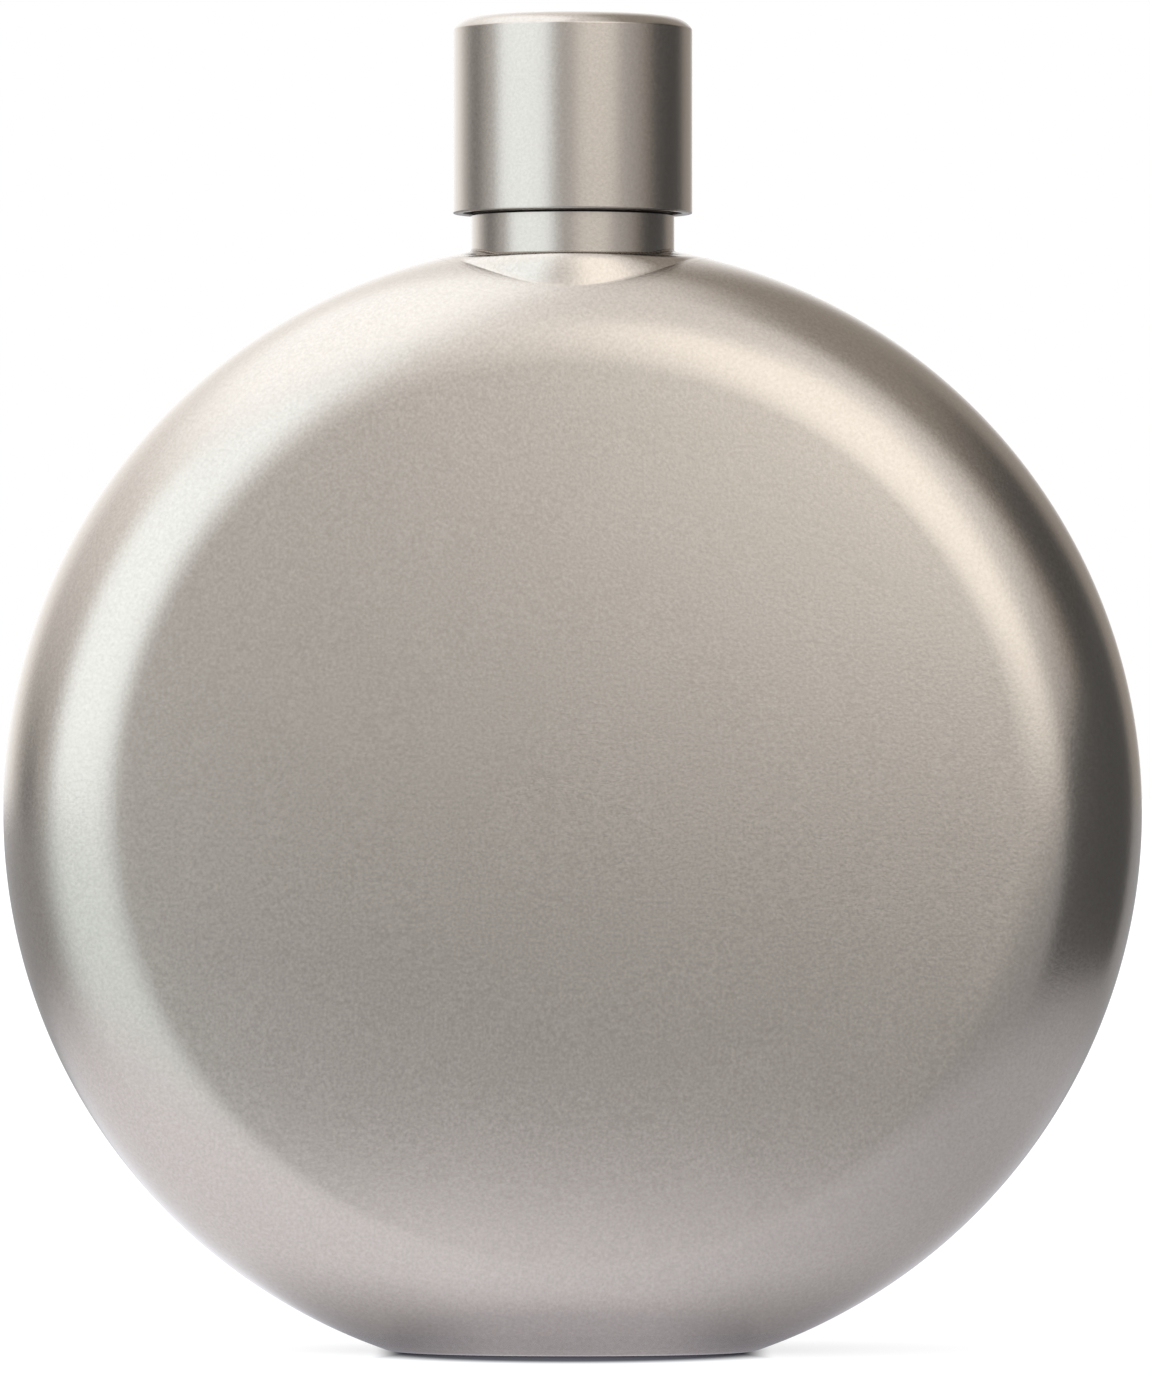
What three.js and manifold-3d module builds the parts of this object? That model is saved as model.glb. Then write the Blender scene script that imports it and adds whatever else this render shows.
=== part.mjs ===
// A round titanium hip flask, built the way it is made: two pressed half shells welded along a seam,
// a flat base plate, a turned neck welded on a pressed boss, and a screw cap with a threaded liner
// and a silicone seal. Millimetres, +Z up. The origin is the middle of the base, on the surface that
// the flask stands on. The broad faces look along -Y (front) and +Y (rear).
import * as THREE from "three";
import { mergeVertices } from "three/addons/utils/BufferGeometryUtils.js";
import Module from "manifold-3d";

const wasm = await Module();
wasm.setup();

// Body
const BODY_DIAMETER = 95;
const BODY_THICKNESS = 28; // across the crowns of the two faces
const FACE_CROWN_RADIUS = 600; // each face is a very shallow dome
const RIM_STRAIGHT = 1.5; // straight wall of each half beside the seam
const SHEET = 0.8; // pressed titanium sheet
const BASE_WIDTH = 30.4; // flat foot, measured along the seam
const BASE_PLATE_THICKNESS = 1.2;

// Boss that is pressed out of the shells to carry the neck
const BOSS_DEPTH = 6; // from its flat top to the foot of its cone
const BOSS_FOOT_INSET = 0.8; // how far the foot is sunk under the skin of the body
const HOLE_CLEARANCE = 0.3; // between the neck's spigot and its hole

// Welds
const WELD_WIDTH = 1.2; // across the flush beads of the seam and the base
const WELD_DEPTH = 0.4;
const NECK_WELD_LEG = 0.5; // fillet round the foot of the neck

// Neck
const NECK_BORE = 11.4; // diameter of the mouth
const NECK_WALL = 1.2;
const COLLAR_FLANGE = 1.6; // how far the plain collar stands out past the neck's core
const COLLAR_HEIGHT = 3.8; // its upper end goes up inside the cap's rim
const SPIGOT_LENGTH = 2.4; // goes down through the boss
const NECK_LENGTH = 12.6; // from the collar's shoulder to the lip
const EDGE_CHAMFER = 0.3; // on the collar, the lip and the mouth of the cap

// Thread: a right-hand ridge on the neck, and one inside the liner that runs below it
const THREAD_PITCH = 2.5;
const THREAD_DEPTH = 0.9;
const THREAD_CLEARANCE = 0.3; // crest to root, and flank to flank where the cap pulls tight
const THREAD_RUNOUT = 1.2; // plain core below the neck's ridge
const THREAD_LEAD_IN = 1.4; // plain core above it, and plain wall below the liner's ridge
const RIDGE_ROOT = 0.44 * THREAD_PITCH; // the thread form follows the pitch
const RIDGE_CREST = 0.22 * THREAD_PITCH;
const RIDGE_SUNK = 0.25; // how deep a ridge is rooted in its wall
const RIDGE_FADE_TURNS = 0.2; // each end of a ridge sinks into its wall over this much of a turn

// Cap
const CAP_OVERLAP = 0.5; // how far the cap's rim comes down round the collar
const SEAL_THICKNESS = 1.2;
const SEAL_FIT = 0.2;
const LINER_WALL = 1.0;
const LINER_TOP = 1.0;
const LINER_FIT = 0.1; // between the liner and the cap's wall
const LINER_CLEARANCE = 0.3; // from the collar's shoulder up to the liner
const CAP_WALL = 0.8;
const CAP_TOP = 1.1;
const CAP_EDGE_RADIUS = 1.1; // rounded top edge

// Facets
const BODY_FACETS = 60;
const NECK_FACETS = 36;
const CROWN_STEPS = 2;
const CORNER_STEPS = 6;
const EDGE_STEPS = 4;

// Disc of the body: the crown of a face runs into the corner of the rim, and that into the straight wall
const bodyRadius = BODY_DIAMETER / 2;
const crownCentre = FACE_CROWN_RADIUS - BODY_THICKNESS / 2; // behind the face, past the other face
const crownToCorner = crownCentre + RIM_STRAIGHT;
const cornerRadius =
  (FACE_CROWN_RADIUS ** 2 - crownToCorner ** 2 - bodyRadius ** 2) / (2 * (FACE_CROWN_RADIUS - bodyRadius));
const cornerCentre = bodyRadius - cornerRadius; // distance from the axis of the disc
const crownAngle = Math.asin(cornerCentre / (FACE_CROWN_RADIUS - cornerRadius));
const bodyCentreHeight = Math.sqrt(bodyRadius ** 2 - (BASE_WIDTH / 2) ** 2);

// Neck and boss
const boreRadius = NECK_BORE / 2;
const coreRadius = boreRadius + NECK_WALL;
const crestRadius = coreRadius + THREAD_DEPTH;
const collarRadius = coreRadius + COLLAR_FLANGE;
const holeRadius = coreRadius + HOLE_CLEARANCE;
const bossTopRadius = collarRadius + NECK_WELD_LEG;
const bossTop = bodyCentreHeight + Math.sqrt(bodyRadius ** 2 - bossTopRadius ** 2);
const bossFoot = bossTop - BOSS_DEPTH;
const bossFootRadius = bodyHalfThickness(bossFoot - bodyCentreHeight) - BOSS_FOOT_INSET;
const shoulder = bossTop + COLLAR_HEIGHT;
const lip = shoulder + NECK_LENGTH;
const threadStart = shoulder + THREAD_RUNOUT + RIDGE_ROOT / 2; // middle of the ridge, at its lower end

// Cap, from the seal on the lip outwards
const linerBoreRadius = crestRadius + THREAD_CLEARANCE;
const linerRadius = linerBoreRadius + LINER_WALL;
const capBoreRadius = linerRadius + LINER_FIT;
const capRadius = capBoreRadius + CAP_WALL;
const linerCeiling = lip + SEAL_THICKNESS;
const capCeiling = linerCeiling + LINER_TOP;
const capTop = capCeiling + CAP_TOP;
const capRim = shoulder - CAP_OVERLAP;
const linerRim = shoulder + LINER_CLEARANCE;

// Finishes
const blastedTitanium = { color: 0xa39a91, roughness: 0.38, metalness: 1 };
const turnedTitanium = { color: 0xa59c92, roughness: 0.32, metalness: 1 };
const weldMetal = { color: 0x9a938b, roughness: 0.3, metalness: 1 };
const darkPolymer = { color: 0x2a2a2c, roughness: 0.5, metalness: 0 };
const silicone = { color: 0xd9d6ce, roughness: 0.6, metalness: 0 };

// Half of the body's thickness in the rim, at a distance from the axis of the disc.
function bodyHalfThickness(distance) {
  return RIM_STRAIGHT + Math.sqrt(cornerRadius ** 2 - (distance - cornerCentre) ** 2);
}

// A closed geometry as a solid that can be joined and cut.
function solidOf(geometry) {
  const bare = geometry.clone();
  bare.deleteAttribute("normal");
  bare.deleteAttribute("uv");
  const merged = mergeVertices(bare);
  const mesh = new wasm.Mesh({
    numProp: 3,
    vertProperties: merged.attributes.position.array,
    triVerts: new Uint32Array(merged.index.array),
  });
  return new wasm.Manifold(mesh);
}

// A solid as a geometry.
function geometryOf(solid) {
  const mesh = solid.getMesh();
  const geometry = new THREE.BufferGeometry();
  geometry.setAttribute("position", new THREE.BufferAttribute(mesh.vertProperties, 3));
  geometry.setIndex(new THREE.BufferAttribute(mesh.triVerts, 1));
  geometry.computeVertexNormals();
  return geometry;
}

// Points along an arc, with its angle measured from straight down towards the right.
function arcPoints(centreX, centreY, radius, from, to, steps) {
  const points = [];
  for (let i = 0; i <= steps; i++) {
    const angle = from + ((to - from) * i) / steps;
    points.push(new THREE.Vector2(centreX + radius * Math.sin(angle), centreY - radius * Math.cos(angle)));
  }
  return points;
}

// A solid of revolution about the upright axis of the neck, from [radius, height] corners.
// The corners run up the outside and down the inside, and the last one joins the first.
function turned(corners) {
  const points = corners.map(([radius, height]) => new THREE.Vector2(radius, height));
  const closed = [...points, points[0].clone()];
  return solidOf(new THREE.LatheGeometry(closed, NECK_FACETS).rotateX(Math.PI / 2));
}

// The body as a solid disc about an axis that runs from front to rear, with its skin moved inwards.
function bodyDisc(inset) {
  const crown = arcPoints(0, crownCentre, FACE_CROWN_RADIUS - inset, 0, crownAngle, CROWN_STEPS);
  const corner = arcPoints(
    cornerCentre, -RIM_STRAIGHT, cornerRadius - inset, crownAngle, Math.PI / 2, CORNER_STEPS,
  );
  const front = [...crown, ...corner.slice(1)];
  const rear = front.map((point) => new THREE.Vector2(point.x, -point.y)).reverse();
  const geometry = new THREE.LatheGeometry([...front, ...rear], BODY_FACETS);
  return solidOf(geometry.translate(0, 0, bodyCentreHeight));
}

// The cone of the boss, with its skin moved inwards. It runs on past the flat top, to be cut there.
function bossCone(inset) {
  const slope = (bossFootRadius - bossTopRadius) / BOSS_DEPTH;
  const moved = inset * Math.hypot(1, slope);
  const rise = BOSS_DEPTH + SHEET;
  const topRadius = bossFootRadius - slope * rise - moved;
  const cone = new THREE.CylinderGeometry(topRadius, bossFootRadius - moved, rise, NECK_FACETS);
  return solidOf(cone.rotateX(Math.PI / 2).translate(0, 0, bossFoot + rise / 2));
}

// A box between two limits along each axis.
function block([left, right], [front, rear], [bottom, top]) {
  const box = new THREE.BoxGeometry(right - left, rear - front, top - bottom);
  return solidOf(box.translate((left + right) / 2, (front + rear) / 2, (bottom + top) / 2));
}

// A helical ridge of trapezoid section that climbs anticlockwise. Its middle follows
// height = datum + pitch x turns between two heights, with a station at each facet of its wall.
// It is rooted in the wall and stands out of it to the crest, and sinks into it at both ends.
function threadRidge(wall, crest, datum, lowest, highest) {
  const outwards = crest > wall;
  const rooted = outwards ? wall - RIDGE_SUNK : wall + RIDGE_SUNK;
  const hidden = outwards ? wall - RIDGE_SUNK / 2 : wall + RIDGE_SUNK / 2;
  const firstFacet = Math.ceil(((lowest - datum) / THREAD_PITCH) * NECK_FACETS);
  const lastFacet = Math.floor(((highest - datum) / THREAD_PITCH) * NECK_FACETS);
  const fadeFacets = RIDGE_FADE_TURNS * NECK_FACETS;
  const positions = [];
  const indices = [];
  for (let facet = firstFacet; facet <= lastFacet; facet++) {
    const turn = facet / NECK_FACETS;
    const fade = Math.min(1, (facet - firstFacet) / fadeFacets, (lastFacet - facet) / fadeFacets);
    const top = hidden + (crest - hidden) * fade;
    const height = datum + THREAD_PITCH * turn;
    const [inner, outer] = outwards ? [rooted, top] : [top, rooted];
    const [innerHalf, outerHalf] = outwards
      ? [RIDGE_ROOT / 2, RIDGE_CREST / 2]
      : [RIDGE_CREST / 2, RIDGE_ROOT / 2];
    const section = [
      [inner, height - innerHalf],
      [outer, height - outerHalf],
      [outer, height + outerHalf],
      [inner, height + innerHalf],
    ];
    const angle = 2 * Math.PI * turn;
    for (const [radius, z] of section) {
      positions.push(radius * Math.cos(angle), radius * Math.sin(angle), z);
    }
  }
  const corners = 4;
  const stations = lastFacet - firstFacet;
  for (let i = 0; i < stations; i++) {
    for (let j = 0; j < corners; j++) {
      const a = i * corners + j;
      const b = i * corners + ((j + 1) % corners);
      indices.push(a, a + corners, b + corners, a, b + corners, b);
    }
  }
  const last = stations * corners;
  indices.push(0, 1, 2, 0, 2, 3, last, last + 2, last + 1, last, last + 3, last + 2);
  const geometry = new THREE.BufferGeometry();
  geometry.setAttribute("position", new THREE.Float32BufferAttribute(positions, 3));
  geometry.setIndex(indices);
  return solidOf(geometry);
}

// Shells, base plate and their flush welds, all cut from one hollow body.
function buildBody() {
  const wide = [-BODY_DIAMETER, BODY_DIAMETER];
  const deep = [-BODY_THICKNESS, BODY_THICKNESS];
  const tall = [-SHEET, bossTop + SHEET];
  const skin = bodyDisc(0);
  const outside = skin.add(bossCone(0)).intersect(block(wide, deep, [BASE_PLATE_THICKNESS, bossTop]));
  const cavity = bodyDisc(SHEET).add(bossCone(SHEET));
  const inside = cavity.intersect(block(wide, deep, [-SHEET, bossTop - SHEET]));
  const hole = turned([
    [0, bossFoot],
    [holeRadius, bossFoot],
    [holeRadius, bossTop + SHEET],
    [0, bossTop + SHEET],
  ]);
  const hollow = outside.subtract(inside).subtract(hole);
  const plate = skin.intersect(block(wide, deep, [0, BASE_PLATE_THICKNESS]));

  const half = WELD_WIDTH / 2;
  const underSkin = bodyDisc(WELD_DEPTH);
  const seamFoot = BASE_PLATE_THICKNESS + half;
  const seamHeight = [seamFoot, bossTop + SHEET];
  const baseBand = block(wide, deep, [BASE_PLATE_THICKNESS - half, seamFoot]).subtract(underSkin);
  const leftBand = block([-BODY_DIAMETER, -collarRadius], [-half, half], seamHeight).subtract(underSkin);
  const rightBand = block([collarRadius, BODY_DIAMETER], [-half, half], seamHeight).subtract(underSkin);
  const shells = hollow.subtract(leftBand).subtract(rightBand).subtract(baseBand);
  return {
    frontShell: shells.intersect(block(wide, [-BODY_THICKNESS, 0], tall)),
    rearShell: shells.intersect(block(wide, [0, BODY_THICKNESS], tall)),
    leftSeam: hollow.intersect(leftBand),
    rightSeam: hollow.intersect(rightBand),
    basePlate: plate.subtract(baseBand),
    baseWeld: skin.intersect(baseBand),
  };
}

// Neck: a spigot through the boss, a plain collar, and a threaded core up to the lip.
function buildNeck() {
  const blank = turned([
    [boreRadius, bossTop - SPIGOT_LENGTH],
    [coreRadius, bossTop - SPIGOT_LENGTH],
    [coreRadius, bossTop],
    [collarRadius, bossTop],
    [collarRadius, shoulder - EDGE_CHAMFER],
    [collarRadius - EDGE_CHAMFER, shoulder],
    [coreRadius, shoulder],
    [coreRadius, lip - EDGE_CHAMFER],
    [coreRadius - EDGE_CHAMFER, lip],
    [boreRadius, lip],
  ]);
  const highest = lip - THREAD_LEAD_IN - RIDGE_ROOT / 2;
  return blank.add(threadRidge(coreRadius, crestRadius, threadStart, threadStart, highest));
}

// Fillet weld in the corner between the collar and the flat top of the boss.
function buildNeckWeld() {
  return turned([
    [collarRadius, bossTop],
    [collarRadius + NECK_WELD_LEG, bossTop],
    [collarRadius, bossTop + NECK_WELD_LEG],
  ]);
}

// Cap: a turned cup with a rounded top edge.
function buildCap() {
  const edgeRadius = capRadius - CAP_EDGE_RADIUS;
  const edgeHeight = capTop - CAP_EDGE_RADIUS;
  const edge = arcPoints(edgeRadius, edgeHeight, CAP_EDGE_RADIUS, Math.PI / 2, Math.PI, EDGE_STEPS);
  return turned([
    [0, capCeiling],
    [capBoreRadius, capCeiling],
    [capBoreRadius, capRim],
    [capRadius - EDGE_CHAMFER, capRim],
    [capRadius, capRim + EDGE_CHAMFER],
    ...edge.map((point) => [point.x, point.y]),
    [0, capTop],
  ]);
}

// Liner: a polymer cup that fills the cap, with a ridge that hooks under the ridge of the neck.
function buildLiner() {
  const cup = turned([
    [0, linerCeiling],
    [linerBoreRadius, linerCeiling],
    [linerBoreRadius, linerRim],
    [linerRadius, linerRim],
    [linerRadius, capCeiling],
    [0, capCeiling],
  ]);
  const linerCrest = linerBoreRadius - THREAD_DEPTH;
  const flankWidth = (RIDGE_ROOT + RIDGE_CREST) / 2;
  const datum = threadStart - flankWidth - THREAD_CLEARANCE;
  const lowest = linerRim + THREAD_LEAD_IN + RIDGE_ROOT / 2;
  const highest = lip - THREAD_LEAD_IN - RIDGE_ROOT / 2;
  return cup.add(threadRidge(linerBoreRadius, linerCrest, datum, lowest, highest));
}

// Seal: a flat silicone washer between the lip and the liner.
function buildSeal() {
  return turned([
    [boreRadius, lip],
    [linerBoreRadius - SEAL_FIT, lip],
    [linerBoreRadius - SEAL_FIT, linerCeiling],
    [boreRadius, linerCeiling],
  ]);
}

// One named mesh for each piece, with its own material.
function piece(name, solid, finish) {
  const mesh = new THREE.Mesh(geometryOf(solid), new THREE.MeshStandardMaterial(finish));
  mesh.name = name;
  return mesh;
}

const body = buildBody();
const vessel = new THREE.Group();
vessel.add(
  piece("front_shell", body.frontShell, blastedTitanium),
  piece("rear_shell", body.rearShell, blastedTitanium),
  piece("seam_weld_left", body.leftSeam, weldMetal),
  piece("seam_weld_right", body.rightSeam, weldMetal),
  piece("base_plate", body.basePlate, blastedTitanium),
  piece("base_weld", body.baseWeld, weldMetal),
  piece("neck_spout", buildNeck(), turnedTitanium),
  piece("neck_weld", buildNeckWeld(), weldMetal),
);

const cap = new THREE.Group();
cap.add(
  piece("cap_shell", buildCap(), turnedTitanium),
  piece("cap_thread_liner", buildLiner(), darkPolymer),
  piece("cap_seal", buildSeal(), silicone),
);

const flask = new THREE.Group();
flask.add(vessel, cap);

export default flask;
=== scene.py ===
# %% [markdown]
# # A round titanium hip flask
# The flask is two pressed titanium dishes welded rim to rim, with a flat foot, a raised boss that
# carries a turned neck, and a screw cap with a threaded liner and a seal. The solids with the true
# sizes and the joints come ready made, as a fixed frame. This lesson dresses that frame: each solid
# is replaced by a smooth, finely made piece in the same place, in metres, and gets its finish.

import math

import bpy
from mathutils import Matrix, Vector


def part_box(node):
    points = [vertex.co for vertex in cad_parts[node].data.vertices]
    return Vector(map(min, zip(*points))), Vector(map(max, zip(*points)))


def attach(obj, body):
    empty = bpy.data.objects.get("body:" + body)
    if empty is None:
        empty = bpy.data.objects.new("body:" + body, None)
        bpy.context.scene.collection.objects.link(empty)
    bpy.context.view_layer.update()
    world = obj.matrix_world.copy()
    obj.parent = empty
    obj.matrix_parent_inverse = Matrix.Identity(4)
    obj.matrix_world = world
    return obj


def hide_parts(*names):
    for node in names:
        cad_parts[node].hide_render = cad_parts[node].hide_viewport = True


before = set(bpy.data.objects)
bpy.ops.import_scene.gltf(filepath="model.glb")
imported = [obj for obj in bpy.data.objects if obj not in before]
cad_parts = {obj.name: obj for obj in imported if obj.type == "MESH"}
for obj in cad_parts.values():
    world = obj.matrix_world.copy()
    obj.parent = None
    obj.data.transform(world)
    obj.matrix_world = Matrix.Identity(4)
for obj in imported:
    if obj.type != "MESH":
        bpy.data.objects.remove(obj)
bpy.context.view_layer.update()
print("solids:", sorted(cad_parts))

# %% [markdown]
# ## Reading the sizes
# Most sizes are read from the boxes of the solids, so that each piece lands where the frame says.
# A box can't say how round a corner is, so the radii of the press tools are written here, in metres.
# The rim's corner is the arc that touches both the shallow dome of the face and the straight wall.

# %% Sizes of the flask
MM = 0.001
shell_low, shell_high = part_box("front_shell")
neck_low, neck_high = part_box("neck_spout")
base_weld_low, base_weld_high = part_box("base_weld")
seam_low, seam_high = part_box("seam_weld_right")
cap_low, cap_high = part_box("cap_shell")
liner_low, liner_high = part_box("cap_thread_liner")
seal_low, seal_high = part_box("cap_seal")

body_radius = shell_high.x
half_thickness = -shell_low.y
boss_top = shell_high.z
face_crown_radius = 600 * MM
rim_straight = 1.5 * MM
sheet = 0.8 * MM
foot_half_width = 15.2 * MM
weld_half_width = seam_high.y
weld_depth = 0.4 * MM

crown_centre = face_crown_radius - half_thickness
crown_to_corner = crown_centre + rim_straight
corner_radius = face_crown_radius**2 - crown_to_corner**2 - body_radius**2
corner_radius /= 2 * (face_crown_radius - body_radius)
corner_centre = body_radius - corner_radius
crown_angle = math.asin(corner_centre / (face_crown_radius - corner_radius))
body_centre = Vector((0, 0, math.sqrt(body_radius**2 - foot_half_width**2)))
print("radius of the rim's corner in mm:", round(corner_radius / MM, 3))
print("middle of the disc above the floor in mm:", round(body_centre.z / MM, 3))

# %% [markdown]
# ## Hand tools
# Nearly everything here is round, so the pieces start the way a lathe works: a section is traced
# point by point, and then spun about an axis. The first corner is a small plane merged to one point,
# which is then pulled along the section with extrude, as with the E key. After a spin the double
# points along the closing seam and on the axis are merged, and the normals are made to point out.
# The other tools cut, copy, join and shade a piece. Edges that turn by more than a crease angle stay
# sharp, and that angle, in degrees, is a little wider on turned pieces than on sheet.

# %% Tools for tracing, spinning, cutting, shading and joining
sheet_crease = 24
turned_crease = 28
plate_crease = 30
rubber_crease = 40
same_point = 0.001 * MM


def only(piece):
    """Selects one object and nothing else."""
    bpy.ops.object.select_all(action="DESELECT")
    piece.select_set(True)
    bpy.context.view_layer.objects.active = piece


def trace(name, points):
    """Pulls one corner along the points, and leaves the open line of edges in edit mode."""
    bpy.ops.object.select_all(action="DESELECT")
    bpy.ops.mesh.primitive_plane_add(size=MM, location=points[0])
    piece = bpy.context.object
    piece.name = name
    piece.data.name = name
    bpy.ops.object.transform_apply(location=True, rotation=True, scale=True)
    bpy.ops.object.mode_set(mode="EDIT")
    bpy.ops.mesh.select_mode(type="VERT")
    bpy.ops.mesh.select_all(action="SELECT")
    bpy.ops.mesh.merge(type="CENTER")
    for here, there in zip(points, points[1:]):
        pull = Vector(there) - Vector(here)
        bpy.ops.mesh.extrude_region_move(TRANSFORM_OT_translate={"value": pull})
    return piece


def spin(name, points, centre, axis, steps):
    """A closed piece, spun from a section that ends on the axis or where it began."""
    piece = trace(name, points)
    bpy.ops.mesh.select_all(action="SELECT")
    bpy.ops.mesh.spin(steps=steps, angle=math.tau, center=centre, axis=axis)
    bpy.ops.mesh.select_all(action="SELECT")
    bpy.ops.mesh.remove_doubles(threshold=same_point)
    bpy.ops.mesh.normals_make_consistent(inside=False)
    bpy.ops.object.mode_set(mode="OBJECT")
    return piece


def cut_away(piece, point, towards):
    """Cuts a piece at a plane, drops the side that the plane faces, and closes the cut."""
    only(piece)
    bpy.ops.object.mode_set(mode="EDIT")
    bpy.ops.mesh.select_all(action="SELECT")
    bpy.ops.mesh.bisect(
        plane_co=point, plane_no=towards, use_fill=True, clear_outer=True, threshold=same_point / 10
    )
    bpy.ops.object.mode_set(mode="OBJECT")


def smooth(piece, crease):
    """Shades a piece smooth, and keeps the edges that turn by more than the crease angle."""
    only(piece)
    bpy.ops.object.shade_smooth_by_angle(angle=math.radians(crease))


def copy_of(piece, name):
    """A copy of a piece with a mesh of its own."""
    only(piece)
    bpy.ops.object.duplicate(linked=False)
    copy = bpy.context.object
    copy.name = name
    copy.data.name = name
    return copy


def combine(piece, other, operation):
    """Joins or cuts one piece with another by a boolean, and removes the other."""
    only(piece)
    boolean = piece.modifiers.new("combine", "BOOLEAN")
    boolean.operation = operation
    boolean.solver = "EXACT"
    boolean.object = other
    bpy.ops.object.modifier_apply(modifier="combine")
    bpy.data.objects.remove(other)


def count(piece):
    """Says how many triangles a finished piece has, and where it lies in millimetres."""
    piece.data.calc_loop_triangles()
    corners = [Vector(corner) / MM for corner in piece.bound_box]
    low = [round(min(corner[i] for corner in corners), 2) for i in range(3)]
    high = [round(max(corner[i] for corner in corners), 2) for i in range(3)]
    print(piece.name, len(piece.data.loop_triangles), "triangles, from", low, "to", high)


# %% [markdown]
# ## The skin of the body
# The section of the body is a very shallow dome, then the round corner of the rim, then a short
# straight wall down to the seam. One function gives that line for any depth under the skin, so the
# outside, the inside of the sheet and the floor of the weld groove all come from one drawing.
# A scaled sphere would be quicker, but its rim would be too pointed and its face not flat enough.

# %% Section of the body
outside_steps = (10, 40)
inside_steps = (6, 16)


def skin_line(inset, crown_steps, corner_steps):
    """(distance from the disc's axis, depth to the front) from the middle of a face to the rim."""
    line = []
    for i in range(crown_steps):
        angle = crown_angle * i / crown_steps
        radius = face_crown_radius - inset
        line.append((radius * math.sin(angle), radius * math.cos(angle) - crown_centre))
    for i in range(corner_steps + 1):
        angle = crown_angle + (math.pi / 2 - crown_angle) * i / corner_steps
        radius = corner_radius - inset
        line.append((corner_centre + radius * math.sin(angle), rim_straight + radius * math.cos(angle)))
    return line


def on_disc(line):
    """Places a section of the body above the disc's axis, with depth towards -Y."""
    return [body_centre + Vector((0, -depth, distance)) for distance, depth in line]


def disc_blank(name, inset, steps):
    """The whole body as one closed disc, with its skin moved inwards."""
    front = skin_line(inset, *outside_steps)
    rear = [(distance, -depth) for distance, depth in reversed(front)]
    return spin(name, on_disc(front + rear), body_centre, (0, 1, 0), steps)


# %% [markdown]
# ## Front and rear shell
# Each shell is a dish of 0.8 mm sheet. Its section runs over the outside, round the edge with the
# groove that the seam weld fills, and back along the inside, so the spin gives a dish with a real
# wall. The foot is then cut off with a flat bisect cut, and the opening under the boss is punched
# out with a cylinder. The rear shell is the same pressing, so it is a copy that is turned half round
# about the upright axis.

# %% Press the front shell
hairline = 0.05 * MM
body_steps = 360
outside = skin_line(0, *outside_steps)
inside = skin_line(sheet, *inside_steps)
seam_edge = [
    (body_radius, weld_half_width + hairline),
    (body_radius - hairline, weld_half_width),
    (body_radius - weld_depth, weld_half_width),
    (body_radius - weld_depth, 0),
    (body_radius - sheet, 0),
]
dish = outside + seam_edge + list(reversed(inside))
front_shell = spin("front_shell_pressing", on_disc(dish), body_centre, (0, 1, 0), body_steps)
cut_away(front_shell, (0, 0, base_weld_high.z), (0, 0, -1))
boss_edge_radius = 11.5 * MM
boss_points = 288
punch_length = 20 * MM
punch_middle = (0, 0, boss_top - 2 * MM)
bpy.ops.object.select_all(action="DESELECT")
bpy.ops.mesh.primitive_cylinder_add(
    vertices=boss_points, radius=boss_edge_radius, depth=punch_length, location=punch_middle
)
combine(front_shell, bpy.context.object, "DIFFERENCE")
count(front_shell)

# %% [markdown]
# ## The boss under the neck
# The crescent under the neck is the front of a low boss, where the sheet is drawn up round the hole
# for the neck. A steep wall rises from the rim and rounds over to a narrow ledge, on which the collar
# of the neck stands. The wall is deep at the front and the rear, where the rim falls away, and runs
# out to a tip at each side. A boolean would leave a hard, ragged line along its foot. Instead a ring
# of fine circles is pulled out from the hole, and each of its points is set to the height of the rim
# there, raised by a share of the way up to the ledge that starts and ends softly. The outer edge is
# tucked just under the skin, and takes its shading from a plain disc, so that no line shows there.

# %% Heights of the rim and of the boss
collar_radius = neck_high.x
ledge_radius = 9.3 * MM
ledge = boss_top - 0.33 * MM
seat = boss_top - 0.5 * MM
seat_radius = collar_radius - 0.05 * MM
foot_at_front = 10.2 * MM
foot_at_sides = 11.2 * MM
foot_ease = 0.2
wall_bend = 1.7


def from_neck_axis(place):
    """Distance of a place from the upright axis of the neck and cap."""
    return math.hypot(place.x, place.y)


def rim_height(place):
    """Height of the top of the rim, straight above or below a place."""
    depth = max(0, abs(place.y) - rim_straight)
    reach = corner_centre + math.sqrt(corner_radius**2 - depth**2)
    return body_centre.z + math.sqrt(reach**2 - place.x**2)


def foot_radius(place):
    """How far out the wall of the boss comes down, which is farther where it is low."""
    sideways = (place.x / from_neck_axis(place)) ** 2
    return foot_at_front + (foot_at_sides - foot_at_front) * sideways


def boss_height(place):
    """Height of the seat inside the collar, or of the rim with the wall and the ledge raised on it."""
    distance = from_neck_axis(place)
    if distance < seat_radius:
        return seat
    outside = foot_radius(place)
    climb = min(1, max(0, (outside - distance) / (outside - ledge_radius)))
    eased = math.hypot(climb, foot_ease) - foot_ease
    eased /= math.hypot(1, foot_ease) - foot_ease
    lift = max(0, ledge - rim_height(place))
    return rim_height(place) + lift * (1 - (1 - eased) ** wall_bend)


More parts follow.
